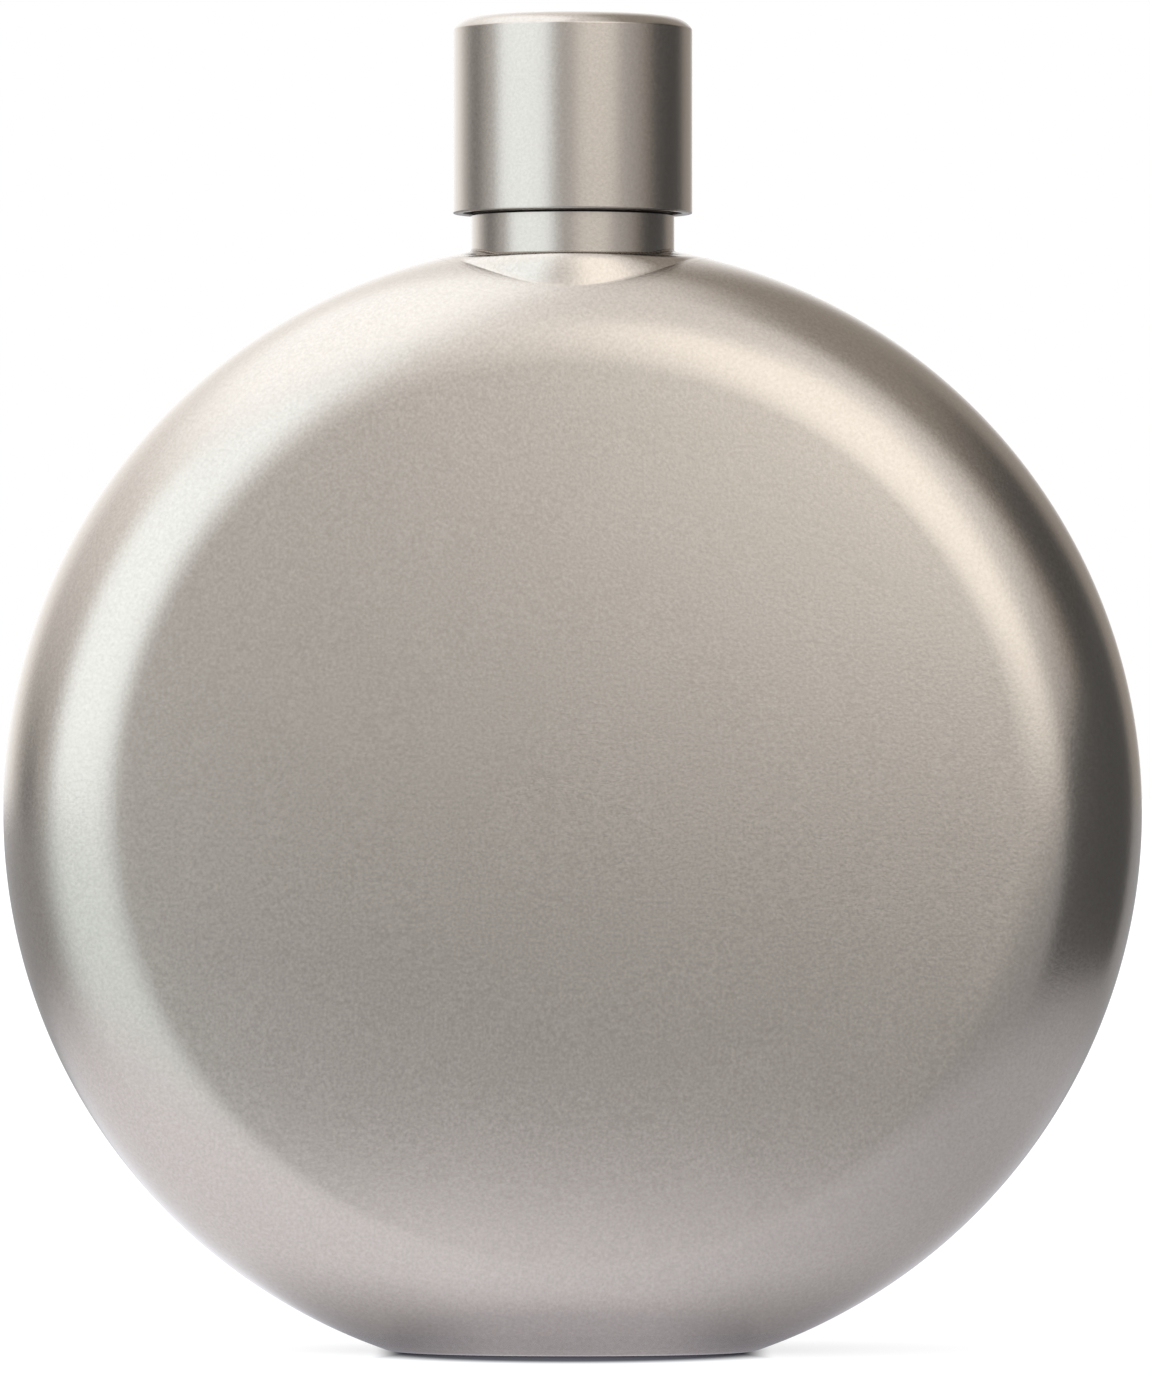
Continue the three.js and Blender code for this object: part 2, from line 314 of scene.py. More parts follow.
# %% Pull out the ring, set its heights and give it a wall
hole_radius = 7.2 * MM
tuck = 0.2 * MM
fine_step = 0.04 * MM
coarse_step = 0.08 * MM
ring_radii = [hole_radius, collar_radius - 0.1 * MM, collar_radius - fine_step]
while ring_radii[-1] < boss_edge_radius + tuck:
    step = fine_step if ring_radii[-1] < foot_at_sides else coarse_step
    ring_radii.append(ring_radii[-1] + step)
bpy.ops.object.select_all(action="DESELECT")
bpy.ops.mesh.primitive_circle_add(
    vertices=boss_points, radius=hole_radius, location=(0, 0, boss_top)
)
boss = bpy.context.object
boss.name = "boss"
bpy.ops.object.transform_apply(location=True, rotation=True, scale=True)
bpy.ops.object.mode_set(mode="EDIT")
bpy.ops.mesh.select_all(action="SELECT")
for here, there in zip(ring_radii, ring_radii[1:]):
    bpy.ops.mesh.extrude_region_move(TRANSFORM_OT_translate={"value": (0, 0, 0)})
    grow = there / here
    bpy.ops.transform.resize(value=(grow, grow, 1), center_override=(0, 0, boss_top))
bpy.ops.mesh.select_all(action="SELECT")
bpy.ops.mesh.normals_make_consistent(inside=False)
bpy.ops.object.mode_set(mode="OBJECT")
if boss.data.polygons[0].normal.z < 0:
    boss.data.flip_normals()
for point in boss.data.vertices:
    point.co.z = boss_height(point.co)


def pick(piece, wanted):
    """Selects the points of a piece that a test of their place picks, and goes to edit mode."""
    only(piece)
    bpy.ops.object.mode_set(mode="EDIT")
    bpy.ops.mesh.select_mode(type="VERT")
    bpy.ops.mesh.select_all(action="DESELECT")
    bpy.ops.object.mode_set(mode="OBJECT")
    for point in piece.data.vertices:
        point.select = wanted(point.co)
    bpy.ops.object.mode_set(mode="EDIT")


# where each band of the outer edge starts, from the edge of the punched hole, and how far it rises
edge_bands = ((-0.3 * MM, 0.002 * MM), (-0.1 * MM, 0.002 * MM), (0.05 * MM, -0.06 * MM))
for start, rise in edge_bands:
    pick(boss, lambda place: from_neck_axis(place) > boss_edge_radius + start)
    bpy.ops.transform.shrink_fatten(value=rise)
    bpy.ops.object.mode_set(mode="OBJECT")
wall = boss.modifiers.new("wall", "SOLIDIFY")
wall.thickness = sheet
wall.offset = -1
bpy.ops.object.modifier_apply(modifier="wall")
count(boss)

# %% Split the boss between the shells, and copy the rear shell
cut_away(boss, (0, 0, 0), (0, 1, 0))
only(front_shell)
boss.select_set(True)
bpy.ops.object.join()
smooth(front_shell, sheet_crease)
skin = disc_blank("plain_skin", 0, body_steps)
smooth(skin, sheet_crease)


blend_start = 11.25 * MM
blend_stop = 12.4 * MM


def round_the_boss(place):
    """True on the skin of the rim near the outer edge of the ring."""
    if place.z < body_centre.z or not blend_start < from_neck_axis(place) < blend_stop:
        return False
    return abs(place.z - rim_height(place)) < sheet / 2


rim_points = [point.index for point in front_shell.data.vertices if round_the_boss(point.co)]
front_shell.vertex_groups.new(name="round the boss").add(rim_points, 1, "REPLACE")
only(front_shell)
shading = front_shell.modifiers.new("shading", "DATA_TRANSFER")
shading.object = skin
shading.use_loop_data = True
shading.data_types_loops = {"CUSTOM_NORMAL"}
shading.loop_mapping = "POLYINTERP_NEAREST"
shading.vertex_group = "round the boss"
bpy.ops.object.modifier_apply(modifier="shading")
front_shell.vertex_groups.clear()
bpy.data.objects.remove(skin)
rear_shell = copy_of(front_shell, "rear_shell_pressing")
bpy.ops.object.mode_set(mode="EDIT")
bpy.ops.mesh.select_all(action="SELECT")
bpy.ops.transform.rotate(value=math.pi, orient_axis="Z", center_override=(0, 0, 0))
bpy.ops.object.mode_set(mode="OBJECT")
count(front_shell)
count(rear_shell)

# %% [markdown]
# ## Welds of the seam and the foot, and the base plate
# The seam is welded and then dressed flush, so only a hairline shows on the side. The bead is a ring
# of small rectangular section, spun once and cut into a left and a right run that end at the foot
# and under the boss. The base plate is a slice of the same disc. Its lower edge is eased by cutting
# it a little high and pulling the flat down with an inset, which leaves a soft bevel to stand on.

# %% Seam welds
bead = [
    (body_radius - weld_depth, -weld_half_width),
    (body_radius - hairline, -weld_half_width),
    (body_radius, hairline - weld_half_width),
    (body_radius, weld_half_width - hairline),
    (body_radius - hairline, weld_half_width),
    (body_radius - weld_depth, weld_half_width),
    (body_radius - weld_depth, -weld_half_width),
]
right_seam = spin("seam_bead_right", on_disc(bead), body_centre, (0, 1, 0), body_steps)
cut_away(right_seam, (0, 0, base_weld_high.z), (0, 0, -1))
left_seam = copy_of(right_seam, "seam_bead_left")
cut_away(right_seam, (boss_edge_radius, 0, 0), (-1, 0, 0))
cut_away(left_seam, (-boss_edge_radius, 0, 0), (1, 0, 0))
for seam in (right_seam, left_seam):
    smooth(seam, sheet_crease)
    count(seam)

# %% Base plate and its weld
foot_bevel = 0.15 * MM
bevel_width = 0.7 * MM
base_plate = disc_blank("foot_plate", 0, body_steps)
cut_away(base_plate, (0, 0, base_weld_low.z), (0, 0, 1))
cut_away(base_plate, (0, 0, foot_bevel), (0, 0, -1))
bpy.ops.object.mode_set(mode="EDIT")
bpy.ops.mesh.select_all(action="DESELECT")
bpy.ops.object.mode_set(mode="OBJECT")
for face in base_plate.data.polygons:
    face.select = face.normal.z < -0.99 and face.center.z < 1.01 * foot_bevel
bpy.ops.object.mode_set(mode="EDIT")
bpy.ops.mesh.select_mode(type="FACE")
bpy.ops.mesh.inset(thickness=bevel_width, depth=foot_bevel)
bpy.ops.object.mode_set(mode="OBJECT")
smooth(base_plate, plate_crease)
count(base_plate)

base_weld = disc_blank("foot_bead", 0, body_steps)
cut_away(base_weld, (0, 0, base_weld_high.z), (0, 0, 1))
cut_away(base_weld, (0, 0, base_weld_low.z), (0, 0, -1))
combine(base_weld, disc_blank("bead_core", weld_depth, body_steps), "DIFFERENCE")
smooth(base_weld, sheet_crease)
count(base_weld)

# %% [markdown]
# ## Neck, with its thread and its weld
# The neck is turned from bar: a spigot that goes down through the boss, a plain collar, and a core
# with a coarse thread for the cap. The collar is chamfered just under the rim of the closed cap,
# and the notch between them shows as a dark line. The body of the neck is spun. The thread is a ridge
# of trapezoid section that the Screw modifier winds up the core, one pitch for each turn, and its
# ends are sunk into the core over a fifth of a turn so that it starts and stops as a cut thread does.

# %% Points round a corner, and pieces about the neck's axis
def rounded(centre, radius, start, stop, steps):
    """Points on an arc in a section of radius and height, with its angle from outwards to up."""
    points = []
    for i in range(steps + 1):
        angle = math.radians(start + (stop - start) * i / steps)
        points.append((centre[0] + radius * math.cos(angle), centre[1] + radius * math.sin(angle)))
    return points


def held(section):
    """The section with extra points near both ends of its long runs, which keep them straight."""
    hold = 0.06 * MM
    points = [section[0]]
    for here, there in zip(section, section[1:]):
        length = math.dist(here, there)
        if length > 5 * hold:
            for share in (hold / length, 1 - hold / length):
                points.append([a + (b - a) * share for a, b in zip(here, there)])
        points.append(there)
    return points


def turned(name, section, steps):
    """A piece turned about the upright axis from (radius, height) corners."""
    points = [Vector((radius, 0, height)) for radius, height in held(section)]
    return spin(name, points, (0, 0, 0), (0, 0, 1), steps)


# %% Wind a thread ridge
pitch = 2.5 * MM
ridge_root = 0.44 * pitch
ridge_crest = 0.22 * pitch
turn_steps = 96
runout_turns = 0.2
root_sink = 0.25 * MM
end_sink = 0.12 * MM
corners = 4


def winding_stations(ridge):
    """Number of steps between the first and the last section of a wound ridge."""
    return len(ridge.data.vertices) // corners - 1


def thread_ridge(name, rooted, hidden, crest, datum, lowest, highest):
    """A ridge whose middle climbs one pitch a turn from lowest to highest, to join to its wall."""
    first_turn = (lowest - datum) / pitch
    turns = (highest - lowest) / pitch
    start = math.tau * first_turn
    section = [
        (rooted, -ridge_root / 2),
        (crest, -ridge_crest / 2),
        (crest, ridge_crest / 2),
        (rooted, ridge_root / 2),
        (rooted, -ridge_root / 2),
    ]
    points = [
        Vector((radius * math.cos(start), radius * math.sin(start), lowest + height))
        for radius, height in section
    ]
    ridge = trace(name, points)
    bpy.ops.mesh.select_all(action="SELECT")
    bpy.ops.mesh.remove_doubles(threshold=same_point)
    bpy.ops.object.mode_set(mode="OBJECT")
    winding = ridge.modifiers.new("winding", "SCREW")
    winding.axis = "Z"
    winding.angle = math.tau * turns
    winding.screw_offset = pitch * turns
    winding.steps = round(turns * turn_steps)
    winding.render_steps = winding.steps
    bpy.ops.object.modifier_apply(modifier="winding")
    bpy.ops.object.mode_set(mode="EDIT")
    bpy.ops.mesh.select_all(action="SELECT")
    bpy.ops.mesh.fill_holes(sides=0)
    bpy.ops.mesh.normals_make_consistent(inside=False)
    bpy.ops.object.mode_set(mode="OBJECT")
    for i, point in enumerate(ridge.data.vertices):
        station = i // corners / winding_stations(ridge)
        fade = min(1, station * turns / runout_turns, (1 - station) * turns / runout_turns)
        radius = from_neck_axis(point.co)
        if abs(radius - crest) < abs(radius - rooted):
            scale = (hidden + (crest - hidden) * fade) / radius
            point.co.x *= scale
            point.co.y *= scale
    return ridge


# %% Turn the neck
lip = neck_high.z
bore_radius = 5.7 * MM
core_radius = 6.9 * MM
crest_radius = 7.8 * MM
shoulder = boss_top + 3.8 * MM
thread_inset = 1.4 * MM
thread_start = shoulder + 1.2 * MM + ridge_root / 2
thread_end = lip - thread_inset - ridge_root / 2
turning_steps = 192
edge = 0.25 * MM
relief = 0.3 * MM
notch = 0.2 * MM
notched_radius = collar_radius - notch
neck_section = [
    (bore_radius + edge, neck_low.z),
    (core_radius - edge, neck_low.z),
    (core_radius, neck_low.z + edge),
    (core_radius, seat),
    (collar_radius, seat),
    (collar_radius, cap_low.z - notch),
    (notched_radius, cap_low.z),
]
neck_section += rounded((notched_radius - edge, shoulder - edge), edge, 0, 90, 5)
neck_section += rounded((core_radius + relief, shoulder + relief), relief, 270, 180, 8)
neck_section += rounded((core_radius - edge, lip - edge), edge, 0, 90, 5)
neck_section += rounded((bore_radius + edge, lip - edge), edge, 90, 180, 5)
neck_section += [(bore_radius, neck_low.z + edge), (bore_radius + edge, neck_low.z)]
neck = turned("neck_turning", neck_section, turning_steps)
neck_ridge = thread_ridge(
    "neck_ridge", core_radius - root_sink, core_radius - end_sink, crest_radius,
    thread_start, thread_start, thread_end,
)
combine(neck, neck_ridge, "UNION")
smooth(neck, turned_crease)
count(neck)

# %% Weld round the foot of the neck
leg = 0.18 * MM
rooted = 0.05 * MM
weld_edge = collar_radius + leg
fillet = [(collar_radius - rooted, boss_top - rooted), (weld_edge, boss_top - rooted)]
fillet += rounded((weld_edge, boss_top + leg), leg, 270, 180, 8)
fillet += [(collar_radius - rooted, boss_top + leg), fillet[0]]
neck_weld = turned("neck_fillet", fillet, turning_steps)
for point in neck_weld.data.vertices:
    inward = collar_radius / from_neck_axis(point.co)
    point.co.z += boss_height(point.co * inward) - boss_top
smooth(neck_weld, turned_crease)
count(neck_weld)

# %% [markdown]
# ## Cap, liner and seal
# The cap is a plain turned cup with a bevelled top edge, and it hides a dark polymer liner that
# carries the thread, because titanium seizes on titanium. A soft washer in the liner's ceiling seals
# the lip. All three are spun about the neck's axis. The liner's ridge is wound like the neck's, but
# it stands inwards and runs half a pitch lower, so that it hooks under the ridge of the neck.

# %% Turn the cap
cap_radius = cap_high.x
cap_top = cap_high.z
cap_rim = cap_low.z
cap_ceiling = liner_high.z
cap_bore = liner_high.x + 0.1 * MM
cap_steps = 256
bevel = 2.15 * MM
bevel_tilt = 34
bevel_edge = 0.18 * MM
rim_edge = 0.12 * MM
cap_section = [(0, cap_ceiling), (cap_bore, cap_ceiling)]
cap_section += [(cap_bore, cap_rim + rim_edge)]
cap_section += rounded((cap_bore + rim_edge, cap_rim + rim_edge), rim_edge, 180, 270, 4)[1:]
cap_section += rounded((cap_radius - rim_edge, cap_rim + rim_edge), rim_edge, 270, 360, 4)
inside_edge = bevel - bevel_edge
edge_height = cap_top - bevel + inside_edge * math.sin(math.radians(bevel_tilt))
bevel_centre = cap_radius - bevel_edge - inside_edge * math.cos(math.radians(bevel_tilt))
cap_section += rounded((cap_radius - bevel_edge, edge_height), bevel_edge, 0, bevel_tilt, 6)
cap_section += rounded((bevel_centre, cap_top - bevel), bevel, bevel_tilt, 90, 16)[1:]
cap_section += [(cap_radius / 2, cap_top), (0, cap_top)]
cap = turned("cap_turning", cap_section, cap_steps)
smooth(cap, turned_crease)
count(cap)

# %% Mould the liner
liner_radius = liner_high.x
liner_ceiling = seal_high.z
liner_bore = 8.1 * MM
liner_rim = liner_low.z
soft = 0.2 * MM
liner_section = [(0, liner_ceiling), (liner_bore, liner_ceiling), (liner_bore, liner_rim + soft)]
liner_section += rounded((liner_bore + soft, liner_rim + soft), soft, 180, 270, 4)[1:]
liner_section += rounded((liner_radius - soft, liner_rim + soft), soft, 270, 360, 4)
liner_section += [(liner_radius, cap_ceiling), (0, cap_ceiling)]
liner = turned("liner_moulding", liner_section, turning_steps)
flank_width = (ridge_root + ridge_crest) / 2
ridge_height = 0.9 * MM
thread_play = 0.3 * MM
liner_ridge = thread_ridge(
    "liner_ridge", liner_bore + root_sink, liner_bore + end_sink, liner_bore - ridge_height,
    thread_start - flank_width - thread_play, liner_rim + thread_inset + ridge_root / 2, thread_end,
)
combine(liner, liner_ridge, "UNION")
smooth(liner, turned_crease)
count(liner)

# %% Cut the seal
seal_radius = seal_high.x
seal_soft = 0.2 * MM
seal_steps = 128
seal_section = rounded((seal_radius - seal_soft, lip + seal_soft), seal_soft, 270, 360, 4)
seal_section += rounded((seal_radius - seal_soft, liner_ceiling - seal_soft), seal_soft, 0, 90, 4)
seal_section += rounded((bore_radius + seal_soft, liner_ceiling - seal_soft), seal_soft, 90, 180, 4)
seal_section += rounded((bore_radius + seal_soft, lip + seal_soft), seal_soft, 180, 270, 4)
seal_section += [seal_section[0]]
seal = turned("seal_washer", seal_section, seal_steps)
smooth(seal, rubber_crease)
count(seal)

# %% [markdown]
# ## What rides on what
# Each new piece stands for a solid of the frame, rides on the body that carries that solid, and
# names the finish that it takes.

# %% Ride, replace and name the finishes
pieces = [
    (front_shell, "front_shell", "flask", "body_titanium"),
    (rear_shell, "rear_shell", "flask", "body_titanium"),
    (right_seam, "seam_weld_right", "flask", "weld_metal"),
    (left_seam, "seam_weld_left", "flask", "weld_metal"),
    (base_plate, "base_plate", "flask", "body_titanium"),
    (base_weld, "base_weld", "flask", "weld_metal"),
    (neck, "neck_spout", "flask", "turned_titanium"),
    (neck_weld, "neck_weld", "flask", "weld_metal"),
    (cap, "cap_shell", "cap", "turned_titanium"),
    (liner, "cap_thread_liner", "cap", "liner_polymer"),
    (seal, "cap_seal", "seal", "seal_silicone"),
]
for piece, node, body, finish in pieces:
    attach(piece, body)
    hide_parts(node)
print("pieces that stand for solids:", len(pieces))

# %% [markdown]
# ## Finishes
# The titanium is blasted with fine beads, which leaves a satin grain of about a quarter of a
# millimetre. That grain shows on every metal piece, so it is a node group with its own size for each
# finish. It gives a height for the bump, and a tone that moves the colour and the roughness a little.

# %% Grain of blasted metal as a node group
grain = bpy.data.node_groups.new("Blasted grain", "ShaderNodeTree")
grain.interface.new_socket("Grains per metre", in_out="INPUT", socket_type="NodeSocketFloat")
grain.interface.new_socket("Height", in_out="OUTPUT", socket_type="NodeSocketFloat")
grain.interface.new_socket("Tone", in_out="OUTPUT", socket_type="NodeSocketFloat")
grain_in = grain.nodes.new("NodeGroupInput")
grain_out = grain.nodes.new("NodeGroupOutput")
grain_place = grain.nodes.new("ShaderNodeTexCoord")
pits = grain.nodes.new("ShaderNodeTexNoise")
pits.inputs["Detail"].default_value = 2
pits.inputs["Roughness"].default_value = 0.65
clouds = grain.nodes.new("ShaderNodeTexNoise")
clouds.inputs["Scale"].default_value = 140
clouds.inputs["Detail"].default_value = 4
tone = grain.nodes.new("ShaderNodeMix")
tone.data_type = "FLOAT"
tone.inputs["Factor"].default_value = 0.12
grain.links.new(grain_in.outputs["Grains per metre"], pits.inputs["Scale"])
grain.links.new(grain_place.outputs["Object"], pits.inputs["Vector"])
grain.links.new(grain_place.outputs["Object"], clouds.inputs["Vector"])
grain.links.new(pits.outputs["Fac"], grain_out.inputs["Height"])
grain.links.new(pits.outputs["Fac"], tone.inputs["A"])
grain.links.new(clouds.outputs["Fac"], tone.inputs["B"])
grain.links.new(tone.outputs["Result"], grain_out.inputs["Tone"])


def speckled_finish(name, dark, light, grains, depth):
    """A finish whose surface has the grain, with the grain's group and the mix of its two colours."""
    finish = bpy.data.materials.new(name)
    finish.use_nodes = True
    tree = finish.node_tree
    shader = tree.nodes["Principled BSDF"]
    speckle = tree.nodes.new("ShaderNodeGroup")
    speckle.node_tree = grain
    speckle.inputs["Grains per metre"].default_value = grains
    colour = tree.nodes.new("ShaderNodeMix")
    colour.data_type = "RGBA"
    colour.inputs["A"].default_value = (*dark, 1)
    colour.inputs["B"].default_value = (*light, 1)
    bump = tree.nodes.new("ShaderNodeBump")
    bump.inputs["Strength"].default_value = 1
    bump.inputs["Distance"].default_value = depth
    tree.links.new(colour.outputs["Result"], shader.inputs["Base Color"])
    tree.links.new(speckle.outputs["Height"], bump.inputs["Height"])
    tree.links.new(bump.outputs["Normal"], shader.inputs["Normal"])
    return finish, speckle, colour


def spread(tree, tone, low, high):
    """Stretches the middle of the grain's tone, from a low value to a high one."""
    node = tree.nodes.new("ShaderNodeMapRange")
    node.inputs["From Min"].default_value = 0.3
    node.inputs["From Max"].default_value = 0.7
    node.inputs["To Min"].default_value = low
    node.inputs["To Max"].default_value = high
    tree.links.new(tone, node.inputs["Value"])
    return node.outputs["Result"]


def blasted_titanium(name, dark, light, smoothest, roughest, grains, depth):
    """A satin metal whose colour and roughness drift with the grain that also roughens it."""
    finish, speckle, colour = speckled_finish(name, dark, light, grains, depth)
    tree = finish.node_tree
    shader = tree.nodes["Principled BSDF"]
    shader.inputs["Metallic"].default_value = 1
    tone = speckle.outputs["Tone"]
    tree.links.new(spread(tree, tone, 0, 1), colour.inputs["Factor"])
    tree.links.new(spread(tree, tone, smoothest, roughest), shader.inputs["Roughness"])
    return finish


body_titanium = blasted_titanium(
    "body_titanium", (0.36, 0.322, 0.286), (0.43, 0.388, 0.348), 0.23, 0.27, 3600, 0.006 * MM
)
turned_titanium = blasted_titanium(
    "turned_titanium", (0.355, 0.318, 0.284), (0.405, 0.364, 0.326), 0.22, 0.26, 4200, 0.004 * MM
)
weld_metal = blasted_titanium(
    "weld_metal", (0.35, 0.315, 0.285), (0.41, 0.375, 0.34), 0.24, 0.30, 2600, 0.006 * MM
)

# %% Painted brown shade on the weld round the foot of the neck
# The weld near the neck is painted dark brown as shade in the crevice at the collar's foot, fading to
# the weld's own colour farther out.
painted_shade_reach = 9.2 * MM
painted_shade_end = 10.5 * MM
painted_shade_brown = (0.20, 0.165, 0.135)
shaded_weld_tree = weld_metal.node_tree
shade_place = shaded_weld_tree.nodes.new("ShaderNodeTexCoord")
neck_distance = shaded_weld_tree.nodes.new("ShaderNodeVectorMath")
neck_distance.operation = "DISTANCE"
neck_distance.inputs[1].default_value = (0, 0, boss_top)
clear_of_neck = shaded_weld_tree.nodes.new("ShaderNodeMapRange")
clear_of_neck.inputs["From Min"].default_value = painted_shade_reach
clear_of_neck.inputs["From Max"].default_value = painted_shade_end
painted_shade_mix = shaded_weld_tree.nodes.new("ShaderNodeMix")
painted_shade_mix.data_type = "RGBA"
painted_shade_mix.inputs["A"].default_value = (*painted_shade_brown, 1)
weld_colour = shaded_weld_tree.nodes["Principled BSDF"].inputs["Base Color"]
shaded_weld_tree.links.new(shade_place.outputs["Object"], neck_distance.inputs[0])
shaded_weld_tree.links.new(neck_distance.outputs["Value"], clear_of_neck.inputs["Value"])
shaded_weld_tree.links.new(clear_of_neck.outputs["Result"], painted_shade_mix.inputs["Factor"])
shaded_weld_tree.links.new(weld_colour.links[0].from_socket, painted_shade_mix.inputs["B"])
shaded_weld_tree.links.new(painted_shade_mix.outputs["Result"], weld_colour)


# %% Polymer and rubber
def soft_material(name, dark, light, rough, grains, depth):
    """A moulded polymer or rubber with a fine matt surface."""
    finish, speckle, colour = speckled_finish(name, dark, light, grains, depth)
    tree = finish.node_tree
    tree.nodes["Principled BSDF"].inputs["Roughness"].default_value = rough
    tree.links.new(speckle.outputs["Tone"], colour.inputs["Factor"])
    return finish


liner_polymer = soft_material(
    "liner_polymer", (0.020, 0.020, 0.022), (0.030, 0.030, 0.033), 0.45, 3000, 0.01 * MM
)
seal_silicone = soft_material(
    "seal_silicone", (0.66, 0.65, 0.61), (0.74, 0.73, 0.69), 0.5, 1500, 0.005 * MM
)
finishes = {
    "body_titanium": body_titanium,
    "turned_titanium": turned_titanium,
    "weld_metal": weld_metal,
    "liner_polymer": liner_polymer,
    "seal_silicone": seal_silicone,
}
for piece, _, _, finish in pieces:
    piece.data.materials.clear()
    piece.data.materials.append(finishes[finish])
print("finishes:", sorted(finishes))

# %% [markdown]
# ## Floor, studio and camera
# A satin metal shows little but what is round it, so the studio is painted with care. The world
# carries a large cool softbox on the left that runs on overhead, a slightly warm one high on the
# right, a dark gap behind the left one, a dark wall on the right and white behind. The flask stands
# on a white table that glows with painted reflections: brightest on the left, under the softbox,
# fading out to the right, and with painted shade near the foot. The camera sees the world as plain
# white, and the table as white with the flask's own shadow and a painted contact shadow round the
# foot.

# %% Nodes for painting the studio
def math_node(tree, operation, first, second=None):
    """One Math node, from sockets or numbers."""
    node = tree.nodes.new("ShaderNodeMath")
    node.operation = operation
    for socket, value in zip(node.inputs, (first, second)):
        if hasattr(value, "links"):
            tree.links.new(value, socket)
        elif value is not None:
            socket.default_value = value
    return node.outputs["Value"]


def ramp(tree, value, start, stop):
    """A smooth step, from 0 at start to 1 at stop."""
    node = tree.nodes.new("ShaderNodeMapRange")
    node.interpolation_type = "SMOOTHSTEP"
    node.inputs["From Min"].default_value = start
    node.inputs["From Max"].default_value = stop
    tree.links.new(value, node.inputs["Value"])
    return node.outputs["Result"]


def window(tree, angle, start, stop, blur):
    """1 between two angles in degrees and 0 outside them, with soft edges."""
    rising = ramp(tree, angle, math.radians(start - blur / 2), math.radians(start + blur / 2))
    falling = ramp(tree, angle, math.radians(stop - blur / 2), math.radians(stop + blur / 2))
    return math_node(tree, "SUBTRACT", rising, falling)


def paint(tree, under, mask, over):
    """Lays one colour of light over another where the mask is 1."""
    node = tree.nodes.new("ShaderNodeMix")
    node.data_type = "RGBA"
    for name, colour in (("A", under), ("B", over)):
        if hasattr(colour, "links"):
            tree.links.new(colour, node.inputs[name])
        else:
            node.inputs[name].default_value = (*colour, 1)
    tree.links.new(mask, node.inputs["Factor"])
    return node.outputs["Result"]


def turn_from_camera(tree, split):
    """Angle about the flask, 0 towards the camera, with the right side of the picture positive."""
    towards_camera = math_node(tree, "MULTIPLY", split.outputs["Y"], -1)
    return math_node(tree, "ARCTAN2", split.outputs["X"], towards_camera)


# %% Table
bpy.ops.object.select_all(action="DESELECT")
bpy.ops.mesh.primitive_plane_add(size=8)
table = bpy.context.object
table.name = "studio_table"
white = bpy.data.materials.new("white_table")
white.use_nodes = True
cloth = white.node_tree
table_shader = cloth.nodes["Principled BSDF"]
table_shader.inputs["Roughness"].default_value = 0.9
table_shader.inputs["Specular IOR Level"].default_value = 0.1
table_shader.inputs["Emission Strength"].default_value = 1
table_place = cloth.nodes.new("ShaderNodeTexCoord")
table_split = cloth.nodes.new("ShaderNodeSeparateXYZ")
table_length = cloth.nodes.new("ShaderNodeVectorMath")
table_length.operation = "LENGTH"
cloth.links.new(table_place.outputs["Object"], table_split.inputs["Vector"])
cloth.links.new(table_place.outputs["Object"], table_length.inputs[0])
table_turn = turn_from_camera(cloth, table_split)


def oval(half_width, half_depth):
    """A value that is 1 on an oval about the middle of the foot, and grows outwards."""
    scaled = cloth.nodes.new("ShaderNodeVectorMath")
    scaled.operation = "MULTIPLY"
    scaled.inputs[1].default_value = (1 / half_width, 1 / half_depth, 0)
    length = cloth.nodes.new("ShaderNodeVectorMath")
    length.operation = "LENGTH"
    cloth.links.new(table_place.outputs["Object"], scaled.inputs[0])
    cloth.links.new(scaled.outputs["Vector"], length.inputs[0])
    return length.outputs["Value"]


foot_half_depth = 9.2 * MM
clear_of_foot = ramp(cloth, oval(foot_half_width, foot_half_depth), 1.0, 2.4)
beside_foot = math_node(cloth, "ABSOLUTE", table_split.outputs["X"])
past_foot = ramp(cloth, beside_foot, 14 * MM, 16.8 * MM)
past_oval = ramp(cloth, oval(17.5 * MM, 15.2 * MM), 0.86, 1.2)
past_contact = math_node(cloth, "MAXIMUM", past_foot, past_oval)
# Painted reflections, seen by every ray but the camera's: the table glows brighter on the left under
# the softbox, and dimmer to the right and far out.
to_the_right = ramp(cloth, table_split.outputs["X"], -24 * MM, 60 * MM)
far_out = ramp(cloth, table_length.outputs["Value"], 63 * MM, 160 * MM)
under_softbox = window(cloth, table_turn, -80, -24, 30)
near_glow = paint(cloth, (1.09, 1.12, 1.23), to_the_right, (0.50, 0.51, 0.57))
far_glow = paint(cloth, (0.14, 0.14, 0.14), under_softbox, (1.06, 1.26, 1.31))
glow = paint(cloth, near_glow, far_out, far_glow)
# Painted shade in the reflections: near the foot the glow is dimmer, and dimmer still towards its
# corners.
at_the_corners = ramp(cloth, beside_foot, 5 * MM, 17 * MM)
contact_glow = paint(cloth, (0.74, 0.74, 0.82), at_the_corners, (0.37, 0.37, 0.42))
glow = paint(cloth, contact_glow, clear_of_foot, glow)
# Painted contact shadow: inside the oval round the foot, the camera's white glow is cut off and the
# table's colour is darkened. This lies over the shadow that the flask really casts.
white_glow = paint(cloth, (0, 0, 0), past_contact, (0.78, 0.78, 0.78))
table_colour_and_painted_shadow = paint(cloth, (0.09, 0.09, 0.11), past_contact, (0.24, 0.24, 0.25))
cloth.links.new(table_colour_and_painted_shadow, table_shader.inputs["Base Color"])
table_rays = cloth.nodes.new("ShaderNodeLightPath")
table_light = paint(cloth, glow, table_rays.outputs["Is Camera Ray"], white_glow)
cloth.links.new(table_light, table_shader.inputs["Emission Color"])
table.data.materials.append(white)

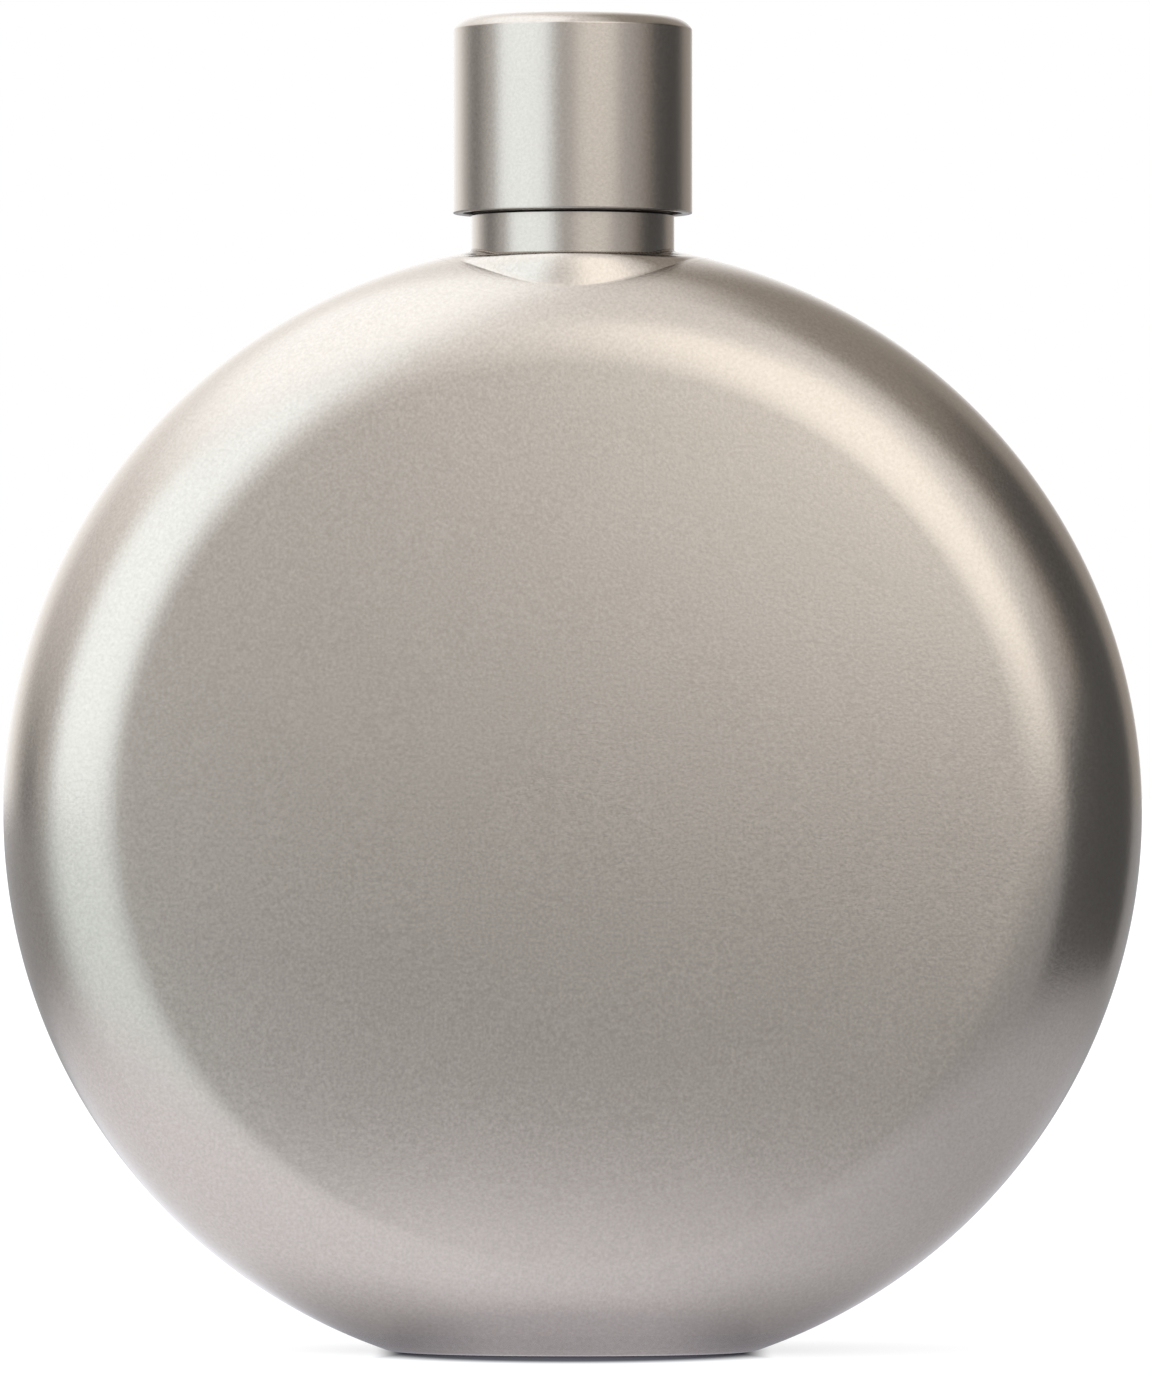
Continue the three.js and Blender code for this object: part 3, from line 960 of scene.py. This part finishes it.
# %% Dark card on the right, seen only in reflections
card_front = Vector((122, -79, 0)) * MM
card_rear = Vector((151, 88, 0)) * MM
card_height = 120 * MM
card = trace("dark_card", [card_front, card_rear])
bpy.ops.mesh.select_all(action="SELECT")
bpy.ops.mesh.extrude_region_move(TRANSFORM_OT_translate={"value": (0, 0, card_height)})
bpy.ops.object.mode_set(mode="OBJECT")
pick(card, lambda place: place.z > card_height / 2 and place.y < 0)
bpy.ops.transform.translate(value=(0, 0, -card_height / 2))
bpy.ops.object.mode_set(mode="OBJECT")
card.visible_camera = False
card.visible_diffuse = False
card.visible_shadow = False
black = bpy.data.materials.new("black_card")
black.use_nodes = True
black_shader = black.node_tree.nodes["Principled BSDF"]
black_shader.inputs["Base Color"].default_value = (0.1, 0.1, 0.1, 1)
black_shader.inputs["Roughness"].default_value = 0.9
card.data.materials.append(black)

# %% Studio painted on the world
world = bpy.data.worlds.new("studio")
world.use_nodes = True
bpy.context.scene.world = world
sky = world.node_tree
sky.nodes.clear()
sky_place = sky.nodes.new("ShaderNodeTexCoord")
sky_split = sky.nodes.new("ShaderNodeSeparateXYZ")
sky.links.new(sky_place.outputs["Generated"], sky_split.inputs["Vector"])
azimuth = turn_from_camera(sky, sky_split)
elevation = math_node(sky, "ARCSINE", sky_split.outputs["Z"])


def panel(under, colour, sides, heights, side_blur, height_blur):
    """A soft panel between two angles about the flask and two angles above the table, in degrees."""
    across = window(sky, azimuth, *sides, side_blur)
    up = window(sky, elevation, *heights, height_blur)
    return paint(sky, under, math_node(sky, "MULTIPLY", across, up), colour)


low_light = (0.86, 0.86, 0.86)
high_light = (1.53, 1.53, 1.53)
white_behind = (1.66, 1.66, 1.66)
dark_gap = (0.07, 0.07, 0.07)
overhead_softbox = (2.46, 2.60, 2.72)
left_softbox = (2.28, 2.54, 2.70)
warm_softbox = (2.44, 2.43, 2.34)
right_wall = (0.56, 0.52, 0.475)
dark_right = (0.14, 0.14, 0.14)
high = ramp(sky, elevation, math.radians(4), math.radians(38))
room = paint(sky, low_light, high, high_light)
room = panel(room, white_behind, (137, 400), (-90, 46), 20, 20)
room = panel(room, white_behind, (-400, -132), (-90, 46), 20, 20)
room = panel(room, dark_gap, (-118, -97), (-90, 5), 14, 20)
room = panel(room, overhead_softbox, (-155, -16), (42, 120), 30, 24)
room = panel(room, left_softbox, (-77, -20.5), (-5, 44), 20, 20)
room = panel(room, warm_softbox, (3, 44), (4, 48), 20, 12)
room = panel(room, right_wall, (67, 168), (-90, 74), 24, 20)
room = panel(room, dark_right, (81, 131), (-90, 42), 20, 20)
sky_rays = sky.nodes.new("ShaderNodeLightPath")
seen = paint(sky, room, sky_rays.outputs["Is Camera Ray"], (1, 1, 1))
light = sky.nodes.new("ShaderNodeBackground")
sky.links.new(seen, light.inputs["Color"])
sky_out = sky.nodes.new("ShaderNodeOutputWorld")
sky.links.new(light.outputs["Background"], sky_out.inputs["Surface"])
print("nodes of the studio:", len(sky.nodes), "and of the table:", len(cloth.nodes))

# %% Camera
camera_place = Vector((0.24, -820, 55.4)) * MM
bpy.ops.object.camera_add(location=camera_place, rotation=(math.pi / 2, 0, 0))
camera = bpy.context.object
camera.data.sensor_width = 36
camera.data.lens = 257
bpy.context.scene.camera = camera
bpy.context.scene.view_settings.view_transform = "Standard"
